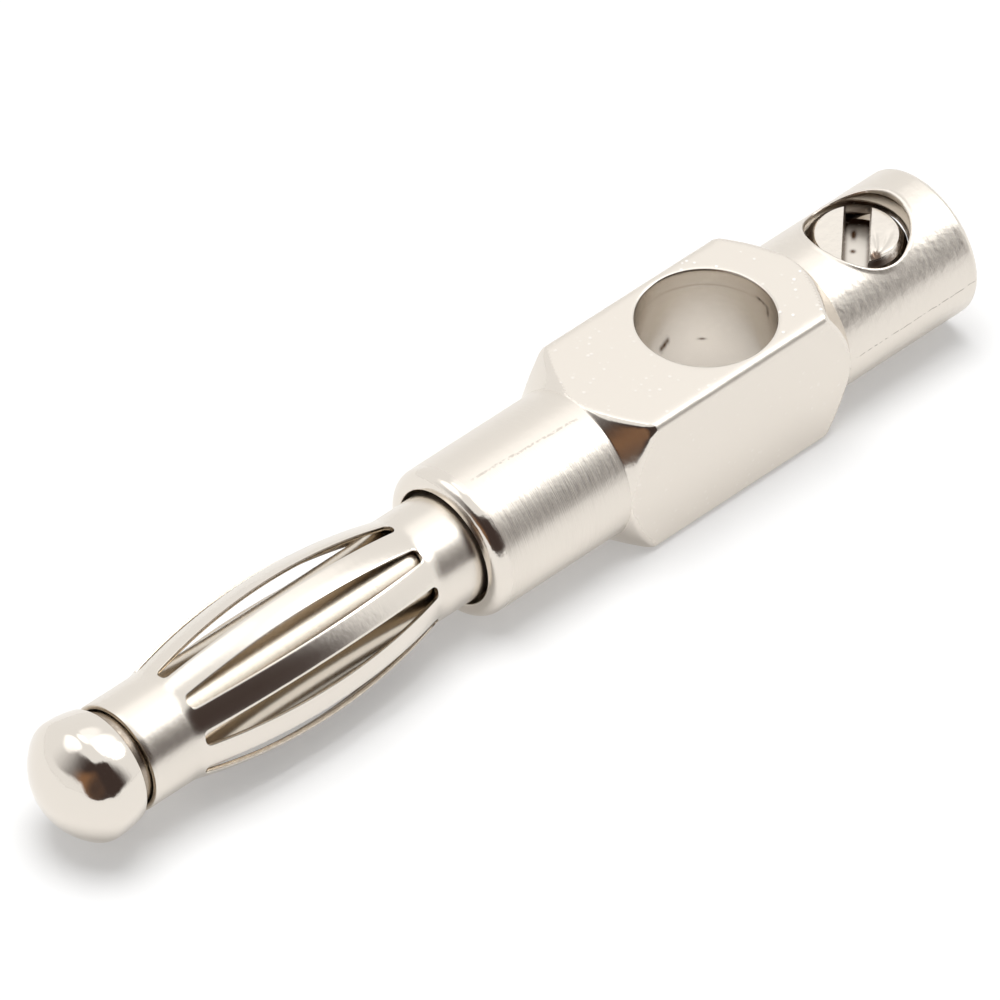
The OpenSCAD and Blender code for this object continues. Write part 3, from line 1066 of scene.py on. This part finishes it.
def seen_rays(add):
    """1 for rays that show the surroundings, straight or in a reflection, and 0 for rays that light."""
    path = add("ShaderNodeLightPath").outputs
    seen = path["Is Camera Ray"]
    for kind in ("Is Glossy Ray", "Is Transmission Ray"):
        both = add("ShaderNodeMath", {0: seen, 1: path[kind]}, operation="ADD", use_clamp=True)
        seen = both.outputs[0]
    return seen


world = bpy.data.worlds.new("tent")
bpy.context.scene.world = world
world.use_nodes = True
world.node_tree.nodes.clear()
add = node_maker(world.node_tree)
shown = add("ShaderNodeBackground", {"Color": WHITE, "Strength": 1}).outputs[0]
light = add("ShaderNodeBackground", {"Color": WHITE, "Strength": TENT_LIGHT}).outputs[0]
both = add("ShaderNodeMixShader", {0: seen_rays(add), 1: light, 2: shown}).outputs[0]
world.node_tree.links.new(both, add("ShaderNodeOutputWorld").inputs[0])
print("tent light", TENT_LIGHT)

# %% [markdown]
# The table is matte paper. It keeps the plug's soft shadow, and it turns white far out, where it meets the
# tent, so that no horizon shows in the metal.

# %% Lay the table
FLOOR_REACH = 3000
FLOOR_DROP = 0.01
FLOOR_GREY = (0.8, 0.8, 0.8, 1)
FLOOR_GLOW = 0.24
FLOOR_WHITE_FROM = 0.12
FLOOR_WHITE_TO = 0.5
floor_z = body_low[2] - FLOOR_DROP
floor_corners = np.array([(-1, -1, 0), (1, -1, 0), (1, 1, 0), (-1, 1, 0)]) * FLOOR_REACH
floor = stage_object("floor", floor_corners + np.array([0, 0, floor_z]), [(0, 1, 2, 3)])
add, output, links = new_material("floor_paper", floor)
matte = add("ShaderNodeBsdfDiffuse", {"Color": FLOOR_GREY}).outputs[0]
glow = add("ShaderNodeEmission", {"Strength": FLOOR_GLOW}).outputs[0]
bright = add("ShaderNodeAddShader", {0: matte, 1: glow}).outputs[0]
place = add("ShaderNodeTexCoord").outputs["Object"]
far = add("ShaderNodeVectorMath", {0: place}, operation="LENGTH").outputs["Value"]
fade_range = {"Value": far, "From Min": FLOOR_WHITE_FROM, "From Max": FLOOR_WHITE_TO}
far = add("ShaderNodeMapRange", fade_range).outputs[0]
white = add("ShaderNodeEmission", {"Strength": 1}).outputs[0]
shown = add("ShaderNodeMixShader", {0: far, 1: bright, 2: white}).outputs[0]
links.new(add("ShaderNodeMixShader", {0: seen_rays(add), 1: matte, 2: shown}).outputs[0], output.inputs[0])
print("floor at", round(floor_z, 2), "mm")

# %% [markdown]
# One real lamp hangs over the plug, for its soft shadow on the table. Reflections don't see it: what they
# show is the panels.

# %% Hang the lamp for the shadow
LAMP_SIZE = 0.45
LAMP_POWER = 2.8
LAMP_DISTANCE = 600
LAMP_WAY = (80, 86)
LAMP_SIDE = (-10, 0)
lamp_data = bpy.data.lights.new("back_lamp", "AREA")
lamp_data.shape = "DISK"
lamp_data.size = LAMP_SIZE
lamp_data.energy = LAMP_POWER
lamp = bpy.data.objects.new("back_lamp", lamp_data)
lamp_way = direction(*LAMP_WAY)
lamp_side = direction(*LAMP_SIDE)
lamp_place = stage_middle + LAMP_DISTANCE * lamp_way
lamp.matrix_world = placing(lamp_side, np.cross(lamp_way, lamp_side), lamp_way, lamp_place)
bpy.context.scene.collection.objects.link(lamp)
lamp.visible_glossy = False
print("lamp at", np.round(lamp_place), "mm")

# %% [markdown]
# ## The finishes
# All four pieces are plated with the same warm nickel. What differs is the finish under it: the lathe
# left rings on the collar, the tail is mottled, the flats are satin with pits, and the head and the
# spring are bright. Each could have its own material. Here each finish is a number painted on the
# vertices, so one material serves all the pieces and the finishes meet where the shapes do.

# %% Find the places on the body
EDGE_START = 1.02
# How near to a place, in millimetres, a vertex has to be to belong to it
NEAR = 0.01
NEAR_FLAT = 0.004
NEAR_ROUND = 0.005
NEAR_END = 0.001
NEAR_EDGE = 0.02
BELOW_MOUTH = 0.03
BELOW_RIM = 0.05

x, y, z = vertex_places(body)
radius = np.hypot(y, z)
from_screw = np.hypot(x - screw_x, y)
in_tap = (z > 0) & (from_screw < tap_r + TAP_DEPTH + NEAR) & (radius < TAIL_R - BELOW_MOUTH)
inside = in_tap | ((x < RECESS_DEPTH + NEAR) & (radius < RECESS_R + NEAR))
inside |= (x > TAIL_X) & (radius < BORE_R + NEAR)
in_hole = (np.hypot(x - hole_x, y) < hole_r + NEAR) & (np.abs(z) < bar_half - BELOW_RIM)
on_lip = (x < LIP_R) & (radius > RECESS_R)
on_collar = (x > LIP_R - NEAR) & (x < BAR_X + NEAR_END) & (radius > COLLAR_R - NEAR_ROUND)
on_tail = (x > TAIL_X - NEAR_END) & (radius > TAIL_R - NEAR_ROUND)
on_flat = np.maximum(np.abs(y), np.abs(z)) > bar_half - NEAR_FLAT
on_edge = ~on_flat & (np.minimum(np.abs(y), np.abs(z)) > bar_core - NEAR_EDGE)
on_edge &= (x > BAR_X + EDGE_START) & (x < TAIL_X - EDGE_START)
print(in_hole.sum(), "vertices in the cross hole,", in_tap.sum(), "in the screw's hole")

# %% [markdown]
# Painted shade darkens the roots of the thread, the screw's hole deep down, the collar's recess, the wire
# bore and a thin groove line in the cross hole. Real grime lies in the scrapes that other plugs left in the
# cross hole, whose wall is also a little darker all over, more so towards the top. Each is a bell or an
# S-curve of a vertex's own place.

# %% Paint the body
# Scrapes in the cross hole: heading in degrees, height, half-width in degrees, half-height, strength
SCRAPES = [
    (84, -0.32, 2, 0.13, 0.95),
    (81.5, -0.22, 1.8, 0.12, 0.95),
    (79, -0.12, 1.6, 0.12, 0.95),
    (49, -0.32, 3, 0.04, 0.95),
    (-10, 1.84, 3, 0.06, 0.95),
    (-3, 1.87, 3.5, 0.05, 0.95),
    (-14, 1.66, 1.5, 0.14, 0.95),
    # This last one is a thin dark line below the rim, painted shade of a machining groove that is not
    # modelled
    (50, 1.8, 45, 0.03, 0.2),
]
# The cross hole's wall is a little darker all over, and more so towards its top
HOLE_DARKENING = 0.06
HOLE_DARKENING_TOP = 0.05
# Painted shade inside the collar's recess and the wire bore
INSIDE_SHADE = 0.2
INSIDE_BRASS = 0.4
# Painted shade in the roots of the screw hole's thread and deep down in that hole
ROOT_SHADE = 0.9
ROOT_DEPTH = 0.19
ROOT_RUN = 0.04
ROOT_SHADE_END = (65, -15)
DEEP_SHADE = 0.7
DEEP_SHADE_START = (0.5, 0.3)
PIT_START_X = hole_x - 1
PIT_RUN = 3
FEW_PITS = 0.35
SIDE_PITS = 0.15

hole_turn = np.degrees(np.arctan2(y, x - hole_x))
hole_dirt = HOLE_DARKENING + HOLE_DARKENING_TOP * rise(z, 1, 1)
for turn, height, wide, tall, strength in SCRAPES:
    hole_dirt = hole_dirt + strength * bell(hole_turn - turn, z - height, (wide, tall))
tap_turn = np.degrees(np.arctan2(y, x - screw_x))
# Painted shade: the thread's roots on one side of the hole, and the hole darker deep down
tap_dirt = ROOT_SHADE * rise(from_screw, tap_r + ROOT_DEPTH, ROOT_RUN) * rise(tap_turn, *ROOT_SHADE_END)
below_tail = np.sqrt(np.maximum(TAIL_R ** 2 - y ** 2, 0)) - z
tap_dirt = np.maximum(tap_dirt, DEEP_SHADE * rise(below_tail, *DEEP_SHADE_START))
top_pits = mix(FEW_PITS, 1, rise(x, PIT_START_X, PIT_RUN))

# Each place with its roughness, rings and mottle; the last row is for the rest
finishes = [
    (in_tap, 0.5, 0, 0.3),
    (on_edge, 0.36, 0.3, 0.3),
    (inside, 0.35, 0, 0.3),
    (in_hole, 0.26, 0.2, 0.2),
    (on_lip, 0.13, 0.2, 0.5),
    (on_collar, 0.32, 0.8, 0.4),
    (on_tail, 0.31, 0.35, 1),
    (on_flat, 0.3, 0, 0.12),
    (np.ones(len(x), bool), 0.15, 0.3, 0.3),
]
places, rough, rings, mottle = map(list, zip(*finishes))
paint(
    body,
    rough=np.select(places, rough),
    rings=np.select(places, rings),
    mottle=np.select(places, mottle),
    pits=on_flat * np.where(z > bar_half - NEAR, top_pits, SIDE_PITS),
    # The dark painted here is shade in the holes and recesses, with real scrapes in the cross hole
    dirt=np.select([in_tap, inside, in_hole], [tap_dirt, INSIDE_SHADE, hole_dirt], 0),
    brass=np.where(inside, INSIDE_BRASS, 0),
)
print("body painted with", len(finishes), "finishes and", len(SCRAPES), "scrapes")

# %% [markdown]
# On the small pieces the plating is thin where it was cut or handled. The pin's shank and the cut edges
# of the spring show some brass. Painted shade darkens the shank in the gap before the spring, the
# spring's cut edges and inner face, the screw's thread, and the slot's floor along its walls. The floor
# also has a smear and a spot left by drivers and is darker at its far end, and a stain lies round the chip.

# %% Paint the pin, the spring and the screw
# Smears on the slot's floor: middle along and across the slot, size along and across it
SMEARS = [
    (0.72, 0.1, (0.2, 0.08)),
    (0, 0.1, (0.07, 0.07)),
]
SMEAR_DIRT = 1.5
FAR_END = (0.95, 0.3)
FLOOR_EDGE = 0.12
FLOOR_EDGE_RUN = 0.1
# Painted shade along the edges of the slot's floor, where it meets the walls
FLOOR_EDGE_SHADE = 0.5
CHIP_STAIN = (0.2, 0.13)
CHIP_STAIN_DEPTH = 0.2
BELOW_TOP = 0.015
BELOW_RUN = 0.05
# Painted shade on the screw's thread, which sits in the hole
THREAD_SHADE = 0.75
MOST_DARKENING = 0.9
LAND_ROUGH = 0.2
THREAD_ROUGH = 0.3
HEAD_ROUGH = 0.08
SHANK_ROUGH = 0.25
# Painted shade on the pin's shank in the gap between its head and the spring
SHANK_SHADE = 0.5
SHANK_BRASS = 0.3
STRIP_ROUGH = 0.18
RING_ROUGH = 0.27
RING_RUN = 0.3
CUT_START = (0.02, 0.03)
# Painted shade on the spring's cut edges and inner face
CUT_SHADE = 0.3
CUT_BRASS = 0.5

x, y, z = vertex_places(pin)
on_shank = rise(x, head_back_x + NEAR, NEAR)
# Painted shade in the gap between the head and the spring
shank_dirt = SHANK_SHADE * on_shank * (x < spring_front_x)
paint(pin, rough=mix(HEAD_ROUGH, SHANK_ROUGH, on_shank), rings=0.1, mottle=0.15, pits=0)
paint(pin, dirt=shank_dirt, brass=SHANK_BRASS * on_shank)

x, y, z = vertex_places(spring)
on_cut = rise(sheet_radius(x, 0) - np.hypot(y, z), *CUT_START)
on_ring = rise(np.abs(x - middle_x), SLOT_LEN / 2, RING_RUN)
paint(spring, rough=mix(STRIP_ROUGH, RING_ROUGH, on_ring), rings=0.1, mottle=0.3, pits=0)
# Painted shade on the cut edges and the inner face; the brass there is the base metal
paint(spring, dirt=CUT_SHADE * on_cut, brass=CUT_BRASS * on_cut)

x, y, z = vertex_places(screw)
along, aside = slot_frame(x, y)
below = rise(screw_top - z, BELOW_TOP, BELOW_RUN)
on_floor = (np.abs(z - slot_floor) < NEAR_END) & (np.abs(aside) < slot_half - NEAR)
# The smear and the spot are real marks, the far end is darker, and the edges along the walls get painted
# shade
slot_floor_marks_and_shade = sum(SMEAR_DIRT * bell(along - far, aside - off, size) for far, off, size in SMEARS)
slot_floor_marks_and_shade = slot_floor_marks_and_shade + rise(along, *FAR_END)
slot_floor_marks_and_shade = slot_floor_marks_and_shade + FLOOR_EDGE_SHADE * rise(np.abs(aside), slot_half - FLOOR_EDGE, FLOOR_EDGE_RUN)
stain = bell(along - CHIP_ALONG, aside - CHIP_ACROSS, CHIP_STAIN) * (z > screw_top - CHIP_STAIN_DEPTH)
# Painted shade on the thread, with a real stain round the chip
thread_dirt = np.clip(THREAD_SHADE * below + stain, 0, MOST_DARKENING)
screw_dirt = np.where(on_floor, np.clip(slot_floor_marks_and_shade, 0, 1), thread_dirt)
paint(screw, rough=mix(LAND_ROUGH, THREAD_ROUGH, below), rings=0, mottle=0.4, pits=0)
paint(screw, dirt=screw_dirt, brass=0)
print("painted", pin.name, spring.name, screw.name, "with", on_floor.sum(), "vertices on the slot's floor")

# %% [markdown]
# ## The plating
# The material turns those numbers into nickel. Stretched noise makes the lathe's rings, plain noise the
# mottle, and cells the pits, each as a small height that tilts the light. Colour then goes from nickel to
# brass, to a painted glint in the pits, and to a dark brown that is real grime in some places and painted
# shade in others. Three long scratches run along the round ends, and each is a thin band of angle round
# the axis that wanders a little.

# %% Plate the pieces
NICKEL = (0.77, 0.716, 0.645, 1)
BRASS = (0.5, 0.38, 0.22, 1)
# Painted highlight: the near-white glint put into each pit
PIT_GLINT = (1, 0.98, 0.95, 1)
# Dark brown, for real grime and for painted shade
GRIME_AND_SHADE = (0.09, 0.045, 0.022, 1)
RING_STRETCH = (6000, 1200, 1200)
FINE_RING_STRETCH = (32000, 1500, 1500)
RING_HEIGHT = 8e-6
FINE_RING_HEIGHT = 4e-6
MOTTLE_HEIGHT = 1.1e-5
PIT_HEIGHT = -8e-6
GRAIN_HEIGHT = 4e-7
# Scales of the noises and cells, and the stretch of each noise that shows
MOTTLE_SCALE = 4200
GRAIN_SCALE = 15000
PIT_CELLS = 3400
PIT_SIZE = (0.22, 0.1)
PIT_GROUPS = 900
PIT_SPREAD = (0.42, 0.54)
GRIME_AND_SHADE_SCALE = 5000
GRIME_AND_SHADE_SPREAD = (0.15, 0.45)
# Scratches along the body: stations and angles of both ends, half-width in radians, strength
SCRATCHES = [
    (TAIL_X + 0.2, rear_x, 89, 89, 0.009, 0.55),
    (0.7, 4.9, 8, 12.5, 0.022, 0.3),
    (0.9, 2.6, 21, 22, 0.02, 0.12),
]
SCRATCH_WANDER = 0.05
SCRATCH_TAPER = 0.3
WANDER_SCALE = 2500
BREAK_SCALE = 9000
BREAK_SPREAD = (0.4, 0.55)


def plated(piece, scratched=False):
    """Nickel with the painted finishes as slopes, over brass, grime, painted shade and a painted glint."""
    add, output, links = new_material(piece.name + "_plating", piece)
    place = add("ShaderNodeTexCoord").outputs["Object"]

    def painted(name):
        return add("ShaderNodeAttribute", attribute_name=name).outputs["Fac"]

    def noise(scale, detail, vector=place):
        sockets = {"Vector": vector, "Scale": scale, "Detail": detail}
        return add("ShaderNodeTexNoise", sockets).outputs["Fac"]

    def maths(operation, *values):
        return add("ShaderNodeMath", dict(enumerate(values)), operation=operation).outputs[0]

    def clipped(value, low, high):
        return add("ShaderNodeMapRange", {"Value": value, "From Min": low, "From Max": high}).outputs[0]

    def stretched(scale):
        return add("ShaderNodeMapping", {"Vector": place, "Scale": scale}).outputs[0]

    def blended(share, colour, other):
        return add("ShaderNodeMix", {0: share, 6: colour, 7: other}, data_type="RGBA").outputs[2]

    def scratches():
        """The strongest of the scratches at a point: near its line, broken by noise, between its ends."""
        axes = add("ShaderNodeSeparateXYZ", {0: place}).outputs
        angle = maths("ARCTAN2", maths("MULTIPLY", axes["Y"], -1), axes["Z"])
        wander = maths("MULTIPLY", maths("SUBTRACT", noise(WANDER_SCALE, 3), 0.5), SCRATCH_WANDER)
        strongest = None
        for start_x, end_x, start, end, half, strength in SCRATCHES:
            lean = np.radians(end - start) / (end_x - start_x) / MM
            wanted = maths("MULTIPLY_ADD", axes["X"], lean, np.radians(start) - lean * start_x * MM)
            away = maths("ABSOLUTE", maths("SUBTRACT", maths("ADD", angle, wander), wanted))
            broken = clipped(noise(BREAK_SCALE, 2), *BREAK_SPREAD)
            line = maths("MULTIPLY", clipped(away, half, half / 2), broken)
            begun = clipped(axes["X"], start_x * MM, (start_x + SCRATCH_TAPER) * MM)
            not_over = clipped(axes["X"], end_x * MM, (end_x - SCRATCH_TAPER) * MM)
            within = maths("MULTIPLY", maths("MULTIPLY", begun, strength), not_over)
            scratch = maths("MULTIPLY", line, within)
            strongest = maths("MAXIMUM", strongest, scratch) if strongest else scratch
        return strongest

    cells = add("ShaderNodeTexVoronoi", {"Vector": place, "Scale": PIT_CELLS}).outputs["Distance"]
    groups = clipped(noise(PIT_GROUPS, 2), *PIT_SPREAD)
    pits = maths("MULTIPLY", clipped(cells, *PIT_SIZE), groups)
    pits = maths("MULTIPLY", pits, painted("pits"))
    # The painted dark: real grime in scrapes and scratches, painted shade in roots, recesses and gaps
    dirt = maths("MULTIPLY", painted("dirt"), clipped(noise(GRIME_AND_SHADE_SCALE, 3), *GRIME_AND_SHADE_SPREAD))
    if scratched:
        dirt = maths("MAXIMUM", dirt, scratches())
    heights = [
        (maths("MULTIPLY", noise(1, 3, stretched(RING_STRETCH)), painted("rings")), RING_HEIGHT),
        (maths("MULTIPLY", noise(1, 1, stretched(FINE_RING_STRETCH)), painted("rings")), FINE_RING_HEIGHT),
        (maths("MULTIPLY", noise(MOTTLE_SCALE, 3), painted("mottle")), MOTTLE_HEIGHT),
        (pits, PIT_HEIGHT),
        (noise(GRAIN_SCALE, 2), GRAIN_HEIGHT),
    ]
    slope = None
    for height, distance in heights:
        sockets = {"Height": height, "Distance": abs(distance)}
        if slope:
            sockets["Normal"] = slope
        slope = add("ShaderNodeBump", sockets, invert=distance < 0).outputs[0]
    colour = blended(painted("brass"), NICKEL, BRASS)
    # The pits are painted brighter, as a painted glint
    colour = blended(pits, colour, PIT_GLINT)
    colour = blended(dirt, colour, GRIME_AND_SHADE)
    metal = add("ShaderNodeBsdfPrincipled", {
        "Base Color": colour,
        "Metallic": 1,
        "Roughness": painted("rough"),
        "Normal": slope,
    })
    links.new(metal.outputs[0], output.inputs[0])


plated(body, scratched=True)
plated(pin)
plated(spring)
plated(screw)
print("plated", body.name, pin.name, spring.name, screw.name)
